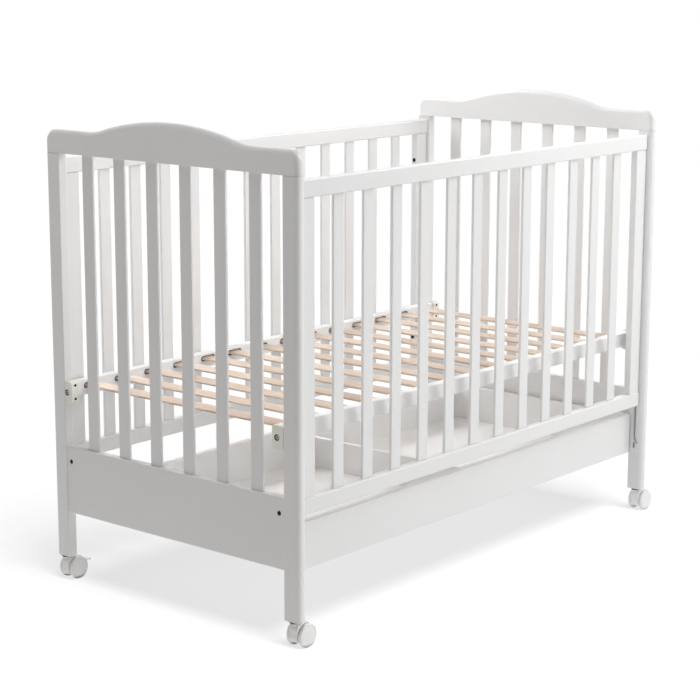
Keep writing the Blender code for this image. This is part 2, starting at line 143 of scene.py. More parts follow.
# ---------------------------------------------------------------- node helpers
class Tree:
    """A few short ways of adding shader nodes to a material."""

    def __init__(self, name):
        self.mat = bpy.data.materials.new(name)
        self.mat.use_nodes = True
        self.nodes = self.mat.node_tree.nodes
        self.shader = self.nodes["Principled BSDF"]

    def link(self, out, into):
        self.mat.node_tree.links.new(out, into)

    def add(self, kind, **values):
        node = self.nodes.new(kind)
        for key, value in values.items():
            if hasattr(node, key):
                setattr(node, key, value)
            else:
                node.inputs[key].default_value = value
        return node

    def coords(self, scale):
        """Object coordinates, stretched by scale in X, Y and Z."""
        source = self.add("ShaderNodeTexCoord")
        mapping = self.add("ShaderNodeMapping")
        mapping.inputs["Scale"].default_value = scale
        self.link(source.outputs["Object"], mapping.inputs["Vector"])
        return mapping.outputs["Vector"]

    def noise(self, scale, size, detail=4.0, rough=0.5, distortion=0.0):
        node = self.add("ShaderNodeTexNoise")
        node.inputs["Scale"].default_value = size
        node.inputs["Detail"].default_value = detail
        node.inputs["Roughness"].default_value = rough
        node.inputs["Distortion"].default_value = distortion
        self.link(self.coords(scale), node.inputs["Vector"])
        return node.outputs["Fac"]

    def ramp(self, factor, stops):
        node = self.add("ShaderNodeValToRGB")
        points = node.color_ramp.elements
        while len(points) < len(stops):
            points.new(0.5)
        for point, (place, colour) in zip(points, stops):
            point.position = place
            point.color = (*colour, 1.0)
        self.link(factor, node.inputs["Fac"])
        return node.outputs["Color"]

    def span(self, factor, low, high):
        node = self.add("ShaderNodeMapRange")
        node.inputs["To Min"].default_value = low
        node.inputs["To Max"].default_value = high
        self.link(factor, node.inputs["Value"])
        return node.outputs["Result"]

    def blend(self, kind, factor, a, b):
        node = self.add("ShaderNodeMix", data_type="RGBA", blend_type=kind)
        self.link(a, node.inputs["A"])
        self.link(b, node.inputs["B"])
        if isinstance(factor, float):
            node.inputs["Factor"].default_value = factor
        else:
            self.link(factor, node.inputs["Factor"])
        return node.outputs["Result"]

    def bump(self, height, distance, strength=1.0, under=None):
        node = self.add("ShaderNodeBump")
        node.inputs["Distance"].default_value = distance
        node.inputs["Strength"].default_value = strength
        self.link(height, node.inputs["Height"])
        if under is not None:
            self.link(under, node.inputs["Normal"])
        self.link(node.outputs["Normal"], self.shader.inputs["Normal"])
        return node.outputs["Normal"]


def along_axis(axis, long_scale, cross_scale):
    """A scale that stretches a pattern along one axis."""
    return tuple(long_scale if n == axis else cross_scale for n in range(3))


def lacquer(axis, painted_light=1.0):
    """White satin lacquer over wood whose grain runs along the axis and barely shows through; a
    painted_light above 1 makes a brighter copy, as painted light.
    """
    t = Tree(f"white_lacquer_{'xyz'[axis]}" if painted_light == 1.0 else "white_lacquer_painted_light")
    grain = t.noise(along_axis(axis, 1.5, 26.0), 9.0, 5.0, 0.62)
    peel = t.noise((1.0, 1.0, 1.0), 900.0, 2.0, 0.5)
    cloud = t.noise((1.0, 1.0, 1.0), 3.2, 3.0, 0.5)
    low, high = (tuple(painted_light * c for c in colour)
                 for colour in ((0.806, 0.804, 0.801), (0.824, 0.822, 0.820)))
    tone = t.ramp(cloud, ((0.30, low), (0.70, high)))
    thin = t.ramp(grain, ((0.35, (0.978, 0.977, 0.974)), (0.60, (1.0, 1.0, 1.0))))
    t.link(t.blend("MULTIPLY", 0.55, tone, thin), t.shader.inputs["Base Color"])
    t.link(t.span(grain, 0.42, 0.32), t.shader.inputs["Roughness"])
    t.shader.inputs["IOR"].default_value = 1.47
    pores = t.bump(grain, 0.00005, 0.6)
    t.bump(peel, 0.00002, 0.5, pores)
    return t.mat


def beech():
    """Steamed beech cut along Y: fine straight grain, short dark flecks, a tone for each slat."""
    t = Tree("beech")
    grain = t.noise((30.0, 1.2, 30.0), 8.0, 6.0, 0.6, 0.2)
    fleck = t.noise((260.0, 22.0, 260.0), 2.2, 2.0, 0.5)
    board = t.noise((1.0, 0.15, 1.0), 9.0, 1.0, 0.4)
    tone = t.ramp(board, ((0.30, (0.595, 0.465, 0.370)), (0.52, (0.670, 0.540, 0.445)),
                          (0.74, (0.730, 0.615, 0.525))))
    lines = t.ramp(grain, ((0.30, (0.80, 0.72, 0.64)), (0.55, (1.0, 1.0, 1.0))))
    spots = t.ramp(fleck, ((0.30, (0.62, 0.50, 0.40)), (0.40, (1.0, 1.0, 1.0))))
    mixed = t.blend("MULTIPLY", 0.75, tone, lines)
    t.link(t.blend("MULTIPLY", 0.7, mixed, spots), t.shader.inputs["Base Color"])
    t.link(t.span(grain, 0.62, 0.48), t.shader.inputs["Roughness"])
    pores = t.bump(grain, 0.00012, 0.7)
    t.bump(fleck, 0.00006, 0.5, pores)
    return t.mat


def laminate():
    """White melamine board with a fine satin pebble."""
    t = Tree("white_laminate")
    pebble = t.noise((1.0, 1.0, 1.0), 520.0, 3.0, 0.55)
    cloud = t.noise((1.0, 1.0, 1.0), 4.0, 2.0, 0.5)
    tone = t.ramp(cloud, ((0.30, (0.875, 0.873, 0.868)), (0.70, (0.900, 0.898, 0.894))))
    t.link(tone, t.shader.inputs["Base Color"])
    t.link(t.span(pebble, 0.44, 0.56), t.shader.inputs["Roughness"])
    t.bump(pebble, 0.00004, 0.6)
    return t.mat


def plastic(name, dark, light, rough, milky, depth):
    """Moulded plastic with a spark-eroded skin; milky is how much light passes inside it."""
    t = Tree(name)
    skin = t.noise((1.0, 1.0, 1.0), 1400.0, 3.0, 0.6)
    cloud = t.noise((1.0, 1.0, 1.0), 38.0, 2.0, 0.5)
    t.link(t.ramp(cloud, ((0.30, dark), (0.70, light))), t.shader.inputs["Base Color"])
    t.link(t.span(skin, rough - 0.06, rough + 0.08), t.shader.inputs["Roughness"])
    t.shader.inputs["Subsurface Weight"].default_value = milky
    t.shader.inputs["Subsurface Radius"].default_value = (depth, 0.85 * depth, 0.7 * depth)
    t.bump(skin, 0.00003, 0.6)
    return t.mat


def black_steel():
    """Black-oxided steel, rubbed a little brighter in patches."""
    t = Tree("black_steel")
    worn = t.noise((1.0, 1.0, 1.0), 420.0, 4.0, 0.6)
    tone = t.ramp(worn, ((0.35, (0.012, 0.012, 0.013)), (0.75, (0.060, 0.058, 0.055))))
    t.link(tone, t.shader.inputs["Base Color"])
    t.link(t.span(worn, 0.50, 0.30), t.shader.inputs["Roughness"])
    t.shader.inputs["Metallic"].default_value = 0.85
    t.bump(worn, 0.00003, 0.5)
    return t.mat


def zinc():
    """Bright zinc-plated steel with a faint brushed drift."""
    t = Tree("zinc_plated_steel")
    drift = t.noise((1.0, 1.0, 6.0), 300.0, 3.0, 0.5)
    t.link(t.ramp(drift, ((0.3, (0.66, 0.66, 0.65)), (0.7, (0.80, 0.80, 0.78)))),
           t.shader.inputs["Base Color"])
    t.link(t.span(drift, 0.48, 0.34), t.shader.inputs["Roughness"])
    t.shader.inputs["Metallic"].default_value = 0.4
    t.bump(drift, 0.00002, 0.5)
    return t.mat


def raw_wood_painted_shade():
    """Bare wood inside the sockets, its brown darkened as painted shade."""
    t = Tree("raw_wood_painted_shade")
    grain = t.noise((1.0, 8.0, 1.0), 160.0, 3.0, 0.6)
    t.link(t.ramp(grain, ((0.3, (0.34, 0.22, 0.15)), (0.7, (0.46, 0.33, 0.25)))),
           t.shader.inputs["Base Color"])
    t.shader.inputs["Roughness"].default_value = 0.8
    t.bump(grain, 0.0001, 0.6)
    return t.mat


def floor_paint():
    """Pale studio floor: near white to the eye, an ordinary pale matt surface to the light."""
    t = Tree("studio_floor")
    grit = t.noise((1.0, 1.0, 1.0), 60.0, 2.0, 0.5)
    t.link(t.ramp(grit, ((0.3, (0.170, 0.167, 0.165)), (0.7, (0.180, 0.177, 0.175)))),
           t.shader.inputs["Base Color"])
    t.shader.inputs["Roughness"].default_value = 0.9
    t.shader.inputs["Specular IOR Level"].default_value = 0.0
    shade = t.add("ShaderNodeBsdfDiffuse")
    shade.inputs["Color"].default_value = (*[FLOOR_SHADE] * 3, 1.0)
    glow = t.add("ShaderNodeEmission")
    glow.inputs["Color"].default_value = (1.0, 1.0, 1.0, 1.0)
    glow.inputs["Strength"].default_value = FLOOR_GLOW
    path = t.add("ShaderNodeLightPath")
    seen = t.add("ShaderNodeMixShader")
    both = t.add("ShaderNodeAddShader")
    out = t.nodes["Material Output"]
    t.link(shade.outputs["BSDF"], both.inputs[0])
    t.link(glow.outputs["Emission"], both.inputs[1])
    t.link(path.outputs["Is Camera Ray"], seen.inputs["Fac"])
    t.link(t.shader.outputs["BSDF"], seen.inputs[1])
    t.link(both.outputs["Shader"], seen.inputs[2])
    t.link(seen.outputs["Shader"], out.inputs["Surface"])
    return t.mat


LACQUER = [lacquer(axis) for axis in range(3)]
# painted light: the same lacquer 8% brighter on the base rails, for light they lack
BASE_LACQUER_PAINTED_LIGHT = lacquer(0, 1.08)
BEECH = beech()
BOARD = laminate()
CREAM = plastic("cream_plastic", (0.84, 0.838, 0.760), (0.88, 0.878, 0.80), 0.42, 0.9, 0.016)
PLASTIC = plastic("white_plastic", (0.87, 0.865, 0.85), (0.90, 0.896, 0.885), 0.36, 0.5, 0.006)
# near-black: the real dark plastic of the gate catches and swivel rings, and painted shade on the
# walls of sockets and holes
DARK_PLASTIC_AND_SHADE = plastic("dark_plastic_and_painted_shade", (0.014, 0.014, 0.014), (0.022, 0.022, 0.022), 0.60, 0.0, 0.001)
STEEL = black_steel()
ZINC = zinc()
RAW_WOOD_PAINTED_SHADE = raw_wood_painted_shade()


# ---------------------------------------------------------------- modelling helpers
def turn_to(axis):
    """The rotation that takes Z to axis 0, 1 or 2."""
    if axis == 0:
        return Matrix.Rotation(math.pi / 2, 3, "Y")
    if axis == 1:
        return Matrix.Rotation(-math.pi / 2, 3, "X")
    return Matrix.Identity(3)


def block_mesh(low, high):
    bm = bmesh.new()
    bmesh.ops.create_cube(bm, size=1.0)
    size = Vector(high) - Vector(low)
    bmesh.ops.scale(bm, vec=size, verts=bm.verts)
    bmesh.ops.translate(bm, vec=(Vector(low) + Vector(high)) / 2, verts=bm.verts)
    return bm


def soften(bm, edges, width, segments=4):
    bmesh.ops.bevel(bm, geom=list(edges), offset=width, segments=segments, profile=0.5,
                    affect="EDGES", clamp_overlap=True)


def runs_along(edge, axis):
    way = edge.verts[0].co - edge.verts[1].co
    return abs(way[axis]) > 0.999 * way.length


def rounded(low, high, long_axis, width, ends=0.0006, segments=4):
    """A bar whose long edges are rounded, with a tiny chamfer round its ends."""
    bm = block_mesh(low, high)
    soften(bm, [e for e in bm.edges if runs_along(e, long_axis)], width, segments)
    if ends:
        flat = [e for e in bm.edges
                if abs(e.verts[0].co[long_axis] - e.verts[1].co[long_axis]) < 1e-7]
        soften(bm, flat, ends, 2)
    return bm


def disc_mesh(radius, length, segments=32, small=None):
    bm = bmesh.new()
    bmesh.ops.create_cone(bm, cap_ends=True, segments=segments, radius1=radius,
                          radius2=radius if small is None else small, depth=length)
    return bm


def pose(bm, centre, axis=2):
    """Turns a mesh made along Z to an axis and moves it to centre."""
    bmesh.ops.rotate(bm, cent=(0, 0, 0), matrix=turn_to(axis), verts=bm.verts)
    bmesh.ops.translate(bm, vec=centre, verts=bm.verts)
    return bm


def lathe(profile, steps=40):
    """Turns a profile of (radius, height) points about Z into a closed solid."""
    bm = bmesh.new()
    verts = [bm.verts.new((r, 0.0, z)) for r, z in profile]
    edges = [bm.edges.new(pair) for pair in zip(verts, verts[1:])]
    bmesh.ops.spin(bm, geom=[*verts, *edges], cent=(0, 0, 0), axis=(0, 0, 1),
                   angle=2 * math.pi, steps=steps, use_merge=True)
    bmesh.ops.remove_doubles(bm, verts=bm.verts, dist=1e-7)
    return bm


def prism(outline, thickness):
    """Extrudes an outline of (a, b) points in the XY plane to a thickness about Z = 0."""
    bm = bmesh.new()
    ring = [bm.verts.new((a, b, -thickness / 2)) for a, b in outline]
    edges = [bm.edges.new(pair) for pair in zip(ring, [*ring[1:], ring[0]])]
    face = bmesh.ops.edgeloop_fill(bm, edges=edges)["faces"]
    grown = bmesh.ops.extrude_face_region(bm, geom=face)["geom"]
    moved = [v for v in grown if isinstance(v, bmesh.types.BMVert)]
    bmesh.ops.translate(bm, verts=moved, vec=(0, 0, thickness))
    return bm


def merge(*parts):
    """One mesh holding several, which stay separate shells."""
    whole = bmesh.new()
    for part in parts:
        carrier = bpy.data.meshes.new("carrier")
        part.to_mesh(carrier)
        part.free()
        whole.from_mesh(carrier)
        bpy.data.meshes.remove(carrier)
    return whole


def carve(obj, tool, material=None, operation="DIFFERENCE"):
    """Cuts a mesh out of obj; the cut faces take the material."""
    bmesh.ops.recalc_face_normals(tool, faces=tool.faces)
    mesh = bpy.data.meshes.new("tool")
    tool.to_mesh(mesh)
    tool.free()
    if material is not None:
        mesh.materials.append(material)
    cutter = bpy.data.objects.new("tool", mesh)
    bpy.context.scene.collection.objects.link(cutter)
    mod = obj.modifiers.new("cut", "BOOLEAN")
    mod.object = cutter
    mod.operation = operation
    mod.solver = "EXACT"
    mod.material_mode = "TRANSFER"
    graph = bpy.context.evaluated_depsgraph_get()
    obj.data = bpy.data.meshes.new_from_object(obj.evaluated_get(graph))
    obj.modifiers.clear()
    bpy.data.objects.remove(cutter, do_unlink=True)


def solid(name, bm, material):
    """A mesh object whose points are in the row frame."""
    bmesh.ops.recalc_face_normals(bm, faces=bm.faces)
    mesh = bpy.data.meshes.new(name)
    bm.to_mesh(mesh)
    bm.free()
    mesh.materials.append(material)
    obj = bpy.data.objects.new(name, mesh)
    bpy.context.scene.collection.objects.link(obj)
    return obj


def settle(obj, body, slot, *nodes, sharp=38.0):
    """Smooths a finished piece, puts it on its body and hides the CAD nodes it stands for; slot is
    not used.
    """
    obj.data.polygons.foreach_set("use_smooth", [True] * len(obj.data.polygons))
    obj.data.set_sharp_from_angle(angle=math.radians(sharp))
    flat = obj.modifiers.new("flat_faces", "WEIGHTED_NORMAL")
    flat.keep_sharp = True
    flat.weight = 80
    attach(obj, body)
    if nodes:
        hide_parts(*nodes)
    return obj


def spread(count, pitch):
    """Offsets from the middle of count things at one pitch."""
    return [(n - (count - 1) / 2) * pitch for n in range(count)]


def arc(cx, cy, radius, start, end, steps):
    """Points round part of a circle, from one angle to another, in degrees."""
    return [(cx + radius * math.cos(math.radians(start + (end - start) * n / steps)),
             cy + radius * math.sin(math.radians(start + (end - start) * n / steps)))
            for n in range(steps + 1)]


def stadium(width, height, steps=10):
    """A slot's outline: a rectangle with half-round ends."""
    half = (width - height) / 2
    r = height / 2
    return [*arc(half, 0, r, -90, 90, steps), *arc(-half, 0, r, 90, 270, steps)]


def bowed(width, thick, edge, steps=8):
    """A slat's section: gently crowned above and below, with half-round edges."""
    rise = (thick - edge) / 2
    half = (width - edge) / 2
    radius = (half * half + rise * rise) / (2 * rise)
    swing = math.degrees(math.asin(half / radius))
    top = arc(0, thick / 2 - radius, radius, 90 + swing, 90 - swing, steps)
    right = arc(half, 0, edge / 2, 90, -90, steps)
    low = [(-a, -b) for a, b in top]
    left = [(-a, -b) for a, b in right]
    return [*top, *right[1:-1], *low, *left[1:-1]]


# ---------------------------------------------------------------- end frames
def crown_outline(half_width, bottom, top):
    """The crowned rail seen along X: corner, shoulder, hollow, crown, and the same mirrored."""
    shoulder = top - CROWN_RISE
    # the hollow and the crown meet at this slope, in degrees
    tilt = 2 * math.degrees(math.atan(CROWN_RISE / CROWN_HALF))
    crown_r = CROWN_HALF / math.sin(math.radians(tilt)) - FILLET_R
    right = [(half_width, bottom)]
    right += arc(half_width - CORNER_R, shoulder - CORNER_R, CORNER_R, 0, 90, 14)
    right += arc(CROWN_HALF, shoulder + FILLET_R, FILLET_R, 270, 270 - tilt, 14)
    right += arc(0, top - crown_r, crown_r, 90 - tilt, 90, 26)[1:]
    left = [(-y, z) for y, z in reversed(right[:-1])]
    return [*right, *left]


def crowned_rail(side):
    """The crowned top rail of one end, and its six slats."""
    low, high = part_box(f"end_rail_{side}")
    post_low, post_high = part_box(f"post_front_{side}")
    bottom = post_high.z + JOINT_RELIEF
    bm = prism(crown_outline(high.y, bottom, high.z), high.x - low.x)
    # the prism's X and Y are the frame's Y and Z
    rims = [e for e in bm.edges
            if abs(e.verts[0].co.z - e.verts[1].co.z) < 1e-9
            and not all(v.co.y < bottom + 1e-6 for v in e.verts)]
    soften(bm, rims, BULL, 8)
    under = [e for e in bm.edges if all(v.co.y < bottom + 1e-6 for v in e.verts)
             and len(e.link_faces) == 2 and e.calc_face_angle() > 0.3]
    soften(bm, under, JOINT_CHAMFER, 2)
    bmesh.ops.rotate(bm, cent=(0, 0, 0), verts=bm.verts,
                     matrix=Matrix(((0, 0, 1), (1, 0, 0), (0, 1, 0))))
    bmesh.ops.translate(bm, vec=((low.x + high.x) / 2, 0, 0), verts=bm.verts)
    settle(solid(f"crowned_rail_{side}", bm, LACQUER[1]), "frame", "lacquered_wood",
           f"end_rail_{side}")
    clear = 2 * abs(post_high.y)
    pitch = (clear - END_SLATS * SLAT_W) / (END_SLATS + 1) + SLAT_W
    middle = (low.x + high.x) / 2
    for n, y in enumerate(spread(END_SLATS, pitch)):
        bar = rounded((middle - SLAT_T / 2, y - SLAT_W / 2, low.z),
                      (middle + SLAT_T / 2, y + SLAT_W / 2, bottom + 0.004), 2, SLAT_ROUND, 0)
        settle(solid(f"end_slat_{side}_{n + 1}", bar, LACQUER[2]), "frame", "lacquered_wood")


def gate_groove(side, sign):
    """The tools that cut the channel for the gate's pins: a shallow run and a deep slit beside it,
    both with a hooked lower end."""
    low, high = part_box(f"gate_track_{side}")
    y = (low.y + high.y) / 2
    face = low.x if sign > 0 else high.x
    tools = []
    for deep, width, shift in ((GROOVE_DEEP, GROOVE_W, 0.0),
                               (SLIT_DEEP, SLIT_W, (GROOVE_W - SLIT_W) / 2 - 0.0010),
                               (SLIT_DEEP / 2, 0.0013, 0.0013 - GROOVE_W / 2)):
        middle = y + shift
        tools.append(block_mesh((face - deep, middle - width / 2, low.z + 0.030),
                                (face + deep, middle + width / 2, high.z - 0.003)))
        jog = block_mesh((face - deep, -width / 2, -0.0085), (face + deep, width / 2, 0.0085))
        bmesh.ops.rotate(jog, cent=(face, 0, 0), verts=jog.verts,
                         matrix=Matrix.Rotation(math.radians(HOOK_TURN), 3, "X"))
        bmesh.ops.translate(jog, vec=(0, middle - 0.0030, low.z + 0.0245), verts=jog.verts)
        tools.append(jog)
    pocket = prism(stadium(0.0190, 0.0092), 2 * GROOVE_DEEP)
    tools.append(pose(pocket, (face, y - 0.0010, low.z + 0.0125), 0))
    tools.append(block_mesh((face - SLIT_DEEP, y + 0.0012, low.z + 0.0055),
                            (face + SLIT_DEEP, y + 0.0044, low.z + 0.0185)))
    return tools


def post(corner, sx, sy):
    """One post: bullnosed outside, eased inside, with the gate's channel in a front post."""
    name = f"post_{corner}"
    low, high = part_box(name)
    bm = block_mesh(low, high)
    middle = (low.y + high.y) / 2
    outer = [e for e in bm.edges if runs_along(e, 2) and (e.verts[0].co.y - middle) * sy > 0]
    soften(bm, outer, BULL, 8)
    inner = [e for e in bm.edges
             if runs_along(e, 2) and (e.verts[0].co.y - middle) * sy < 0]
    soften(bm, inner, POST_EASE, 4)
    for z in (low.z, high.z):
        soften(bm, [e for e in bm.edges if all(abs(v.co.z - z) < 1e-6 for v in e.verts)],
               JOINT_CHAMFER, 2)
    obj = solid(name + "_wood", bm, LACQUER[2])
    nodes = [name]
    if sy < 0:
        side = "left" if sx < 0 else "right"
        for tool in gate_groove(side, sx):
            carve(obj, tool)
        nodes.append(f"gate_track_{side}")
    settle(obj, "frame", "lacquered_wood", *nodes)


def socket_bolt(name, centre, sign, radius, height, metal):
    """A round-headed bolt along X with a hexagon socket, facing sign."""
    head = disc_mesh(radius, height, 32)
    top = [e for e in head.edges if all(v.co.z > 0 for v in e.verts)]
    soften(head, top, height * 0.35, 4)
    obj = solid(name, head, metal)
    # painted shade: the socket's walls take the near-black material
    carve(obj, pose(disc_mesh(radius * 0.52, height, 6), (0, 0, height * 0.45)), DARK_PLASTIC_AND_SHADE)
    turned = turn_to(0) if sign > 0 else turn_to(0) @ Matrix.Rotation(math.pi, 3, "X")
    obj.data.transform(turned.to_4x4())
    obj.data.transform(Matrix.Translation(centre))
    return settle(obj, "frame", "dark_steel")


def lower_panel(side, sign):
    """The plain panel below an end's slats, with its two bolts."""
    name = f"end_panel_{side}"
    low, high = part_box(name)
    bm = rounded(low, high, 1, 0.0024, 0.0004, 4)
    obj = solid(name + "_wood", bm, LACQUER[1])
    face = high.x if sign > 0 else low.x
    for n, y in enumerate((-PANEL_BOLT_Y, PANEL_BOLT_Y)):
        carve(obj, pose(disc_mesh(0.0052, 0.006, 32), (face, y, PANEL_BOLT_Z), 0))
        spot = (face - sign * 0.0018, y, PANEL_BOLT_Z)
        socket_bolt(f"panel_bolt_{side}_{n + 1}", spot, sign, 0.0046, 0.0022, STEEL)
    settle(obj, "frame", "lacquered_wood", name)


# ---------------------------------------------------------------- long sides
def long_side(body, prefix):
    """The rails, stiles and slats of the gate or of the fixed back side."""
    gate = body == "gate"
    for rail in ("top_rail", "bottom_rail" if gate else "slat_row"):
        name = f"{prefix}_{rail}"
        low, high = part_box(name)
        if gate:
            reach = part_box(f"{prefix}_stile_left")[0].x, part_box(f"{prefix}_stile_right")[1].x
        else:
            reach = low.x, high.x
        top = high.z if rail != "slat_row" else low.z + 0.034
        bar = rounded((reach[0], low.y, low.z), (reach[1], high.y, top), 0, 0.0032, 0.0006, 5)
        settle(solid(name + "_wood", bar, LACQUER[0]), body, "lacquered_wood", name)
    lows, highs = zip(*(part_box(f"{prefix}_stile_{side}") for side, _ in ENDS))
    for (side, sign), low, high in zip(ENDS, lows, highs):
        bar = rounded(low, high, 2, 0.0022, 0.0004, 4)
        obj = solid(f"{prefix}_stile_{side}_wood", bar, LACQUER[2])
        if not gate:
            face = low.x if sign > 0 else high.x
            y = (low.y + high.y) / 2
            for n, z in enumerate(STILE_BOLT_Z):
                carve(obj, pose(disc_mesh(0.0056, 0.005, 28), (face, y, z), 0))
                spot = (face + sign * 0.0012, y, z)
                socket_bolt(f"stile_bolt_{side}_{n + 1}", spot, -sign, 0.0050, 0.0024, STEEL)
        settle(obj, body, "lacquered_wood", f"{prefix}_stile_{side}")
    middle_y = (lows[0].y + highs[0].y) / 2
    for n, x in enumerate(spread(SIDE_SLATS, SIDE_PITCH)):
        bar = rounded((MID_X + x - SLAT_W / 2, middle_y - SLAT_T / 2, lows[0].z),
                      (MID_X + x + SLAT_W / 2, middle_y + SLAT_T / 2, highs[0].z), 2,
                      SLAT_ROUND, 0.0008)
        nodes = [f"gate_slat_{n + 1:02d}"] if gate else []
        settle(solid(f"{prefix}_slat_{n + 1:02d}_wood", bar, LACQUER[2]), body,
               "lacquered_wood", *nodes)


def gate_fittings():
    """The gate's guide pins and its two dark catches."""
    for side, sign in ENDS:
        stile_low, stile_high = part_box(f"gate_stile_{side}")
        y = (stile_low.y + stile_high.y) / 2
        edge = stile_high.x if sign > 0 else stile_low.x
        for n, rail in enumerate(("gate_top_rail", "gate_bottom_rail")):
            low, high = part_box(rail)
            z = (low.z + high.z) / 2
            pin = pose(disc_mesh(PIN_R, 0.0060, 24), (edge + sign * 0.0010, y, z), 0)
            settle(solid(f"guide_pin_{side}_{n + 1}", pin, PLASTIC), "gate", "white_plastic")
        catch = rounded((edge + min(0, sign * 0.0012), y - 0.0032, CATCH_Z[0]),
                        (edge + max(0, sign * 0.0012), y + 0.0032, CATCH_Z[1]), 2, 0.0005, 0)
        settle(solid(f"gate_catch_{side}", catch, DARK_PLASTIC_AND_SHADE), "gate", "dark_steel")


# ---------------------------------------------------------------- slatted base
def base():
    """Two long rails with oval sockets, and the beech slats that sit in them."""
    low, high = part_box("base_front_rail")
    back_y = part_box("base_slat_row")[1].y
    places = spread(BASE_SLATS, BASE_PITCH)
    thick = high.y - low.y
    rails = (("base_front_rail", low.y, high.y, high.y),
             ("base_slat_row", back_y - thick, back_y, back_y - thick))
    for name, y0, y1, face in rails:
        bm = rounded((low.x, y0, low.z), (high.x, y1, high.z), 0, 0.0022, 0.0006, 4)
        # the base rails take the brighter lacquer copy, as painted light
        obj = solid(name + "_wood", bm, BASE_LACQUER_PAINTED_LIGHT)
        for x in places:
            hole = prism(stadium(SOCKET_W, SOCKET_H), 0.022)
            pose(hole, (MID_X + x, face, BASE_SLAT_Z), 1)
            # the socket walls take bare wood's brown, darkened as painted shade
            carve(obj, hole, RAW_WOOD_PAINTED_SHADE)
        settle(obj, "frame", "lacquered_wood", name)
    length = back_y - thick - high.y + 2 * SOCKET_DEEP
    for n, x in enumerate(places):
        bm = prism(bowed(BASE_SLAT_W, BASE_SLAT_T, BASE_SLAT_EDGE), length)
        pose(bm, (MID_X + x, high.y - SOCKET_DEEP + length / 2, BASE_SLAT_Z), 1)
        settle(solid(f"beech_slat_{n + 1:02d}", bm, BEECH), "frame", "beech")


def bracket(corner, sx, sy):
    """The moulded corner block: a sunk bolt, and two screws in raised rings."""
    low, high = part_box(f"base_bracket_{corner}")
    moulding = rounded(low, high, 0, BRACKET_ROUND, 0.0016, 6)
    obj = solid(f"base_bracket_{corner}_moulding", moulding, CREAM)
    bolt_low, bolt_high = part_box(f"base_bolt_{corner}")
    face = high.x if sx > 0 else low.x
    floor = bolt_high.x if sx > 0 else bolt_low.x
    seat = Vector((face, (bolt_low.y + bolt_high.y) / 2, (bolt_low.z + bolt_high.z) / 2))
    # painted shade: the walls of the bolt's recess take the near-black material
    carve(obj, pose(disc_mesh(BOLT_HOLE_R, 0.0090, 36), seat, 0), DARK_PLASTIC_AND_SHADE)
    seat.x = floor - sx * 0.0012
    bolt = socket_bolt(f"bracket_bolt_{corner}", seat, sx, 0.0042, 0.0026, ZINC)
    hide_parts(f"base_bolt_{corner}")
    middle = (low + high) / 2
    middle.y = low.y if sy > 0 else high.y
    for n, dz in enumerate((-BRACKET_SCREW_Z, BRACKET_SCREW_Z)):
        spot = middle + Vector((0, 0, dz))
        # painted shade: the screw hole's walls take the near-black material
        carve(obj, pose(disc_mesh(0.0030, 0.0024, 28), spot, 1), DARK_PLASTIC_AND_SHADE)
        screw = pose(disc_mesh(0.0024, 0.0016, 24, 0.0018), (0, 0, 0), 1)
        bmesh.ops.scale(screw, vec=(1, -sy, 1), verts=screw.verts)
        bmesh.ops.translate(screw, vec=spot + Vector((0, sy * 0.0002, 0)), verts=screw.verts)
        settle(solid(f"bracket_screw_{corner}_{n + 1}", screw, STEEL), "frame", "dark_steel")
        boss = lathe(((0.0034, -0.0008), (0.0048, -0.0008), (0.0045, 0.0004), (0.0037, 0.0004),
                      (0.0034, -0.0008)))
        bmesh.ops.scale(boss, vec=(1, 1, -sy), verts=boss.verts)
        settle(solid(f"bracket_ring_{corner}_{n + 1}", pose(boss, spot, 1), CREAM), "frame",
               "cream_plastic")
    settle(obj, "frame", "cream_plastic", f"base_bracket_{corner}")


# ---------------------------------------------------------------- drawer
def drawer():
    """The drawer's boards, and the runners it hangs on."""
    for name, mat, slot, long_axis, radius in (
            ("drawer_front", LACQUER[0], "lacquered_wood", 0, 0.0018),
            ("drawer_back", BOARD, "white_board", 0, 0.0008),
            ("drawer_floor", BOARD, "white_board", 0, 0.0004),
            ("drawer_divider", BOARD, "white_board", 1, 0.0008),
            ("drawer_side_left", BOARD, "white_board", 1, 0.0008),
            ("drawer_side_right", BOARD, "white_board", 1, 0.0008)):
        low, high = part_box(name)
        obj = solid(name + "_board", rounded(low, high, long_axis, radius, radius * 0.5, 3), mat)
        if "side_" in name:
            side = name.rsplit("_", 1)[1]
            run_low, run_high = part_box(f"drawer_runner_{side}")
            x0 = min(run_low.x, low.x) if side == "left" else run_low.x - RUNNER_CLEAR
            x1 = max(run_high.x, high.x) if side == "right" else run_high.x + RUNNER_CLEAR
            slot_low = (x0, low.y + 0.006, run_low.z - RUNNER_CLEAR)
            slot_high = (x1, high.y + 0.004, run_high.z + RUNNER_CLEAR)
            carve(obj, block_mesh(slot_low, slot_high))
        settle(obj, "drawer", slot, name)
    for side, sign in ENDS:
        low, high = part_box(f"drawer_runner_{side}")
        bm = rounded(low, high, 1, 0.0012, 0.0012, 3)
        settle(solid(f"runner_{side}", bm, PLASTIC), "frame", "white_plastic",
               f"drawer_runner_{side}")


# ---------------------------------------------------------------- casters
def brake(corner, hood, y):
    """A brake pedal on its pin, and the notch for it in the hood."""
    low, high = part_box(f"caster_brake_{corner}")
    pin_z = (low.z + high.z) / 2
    carve(hood, block_mesh((low.x - 0.0005, low.y - 0.0006, pin_z - 0.0070),
                           (high.x, high.y + 0.0006, pin_z + 0.0050)))
    pin_x = low.x + PEDAL_PIN_R
    barrel = pose(disc_mesh(PEDAL_PIN_R, high.y - low.y, 24), (pin_x, y, pin_z), 1)
    tab = rounded((pin_x, low.y + 0.0002, pin_z - 0.0005),
                  (high.x, high.y - 0.0002, pin_z + 0.0025), 0, 0.0008, 0.0008, 3)
    pedal = solid(f"pedal_{corner}", tab, PLASTIC)
    carve(pedal, barrel, PLASTIC, "UNION")
    settle(pedal, f"brake_{corner}", "white_plastic", f"caster_brake_{corner}")


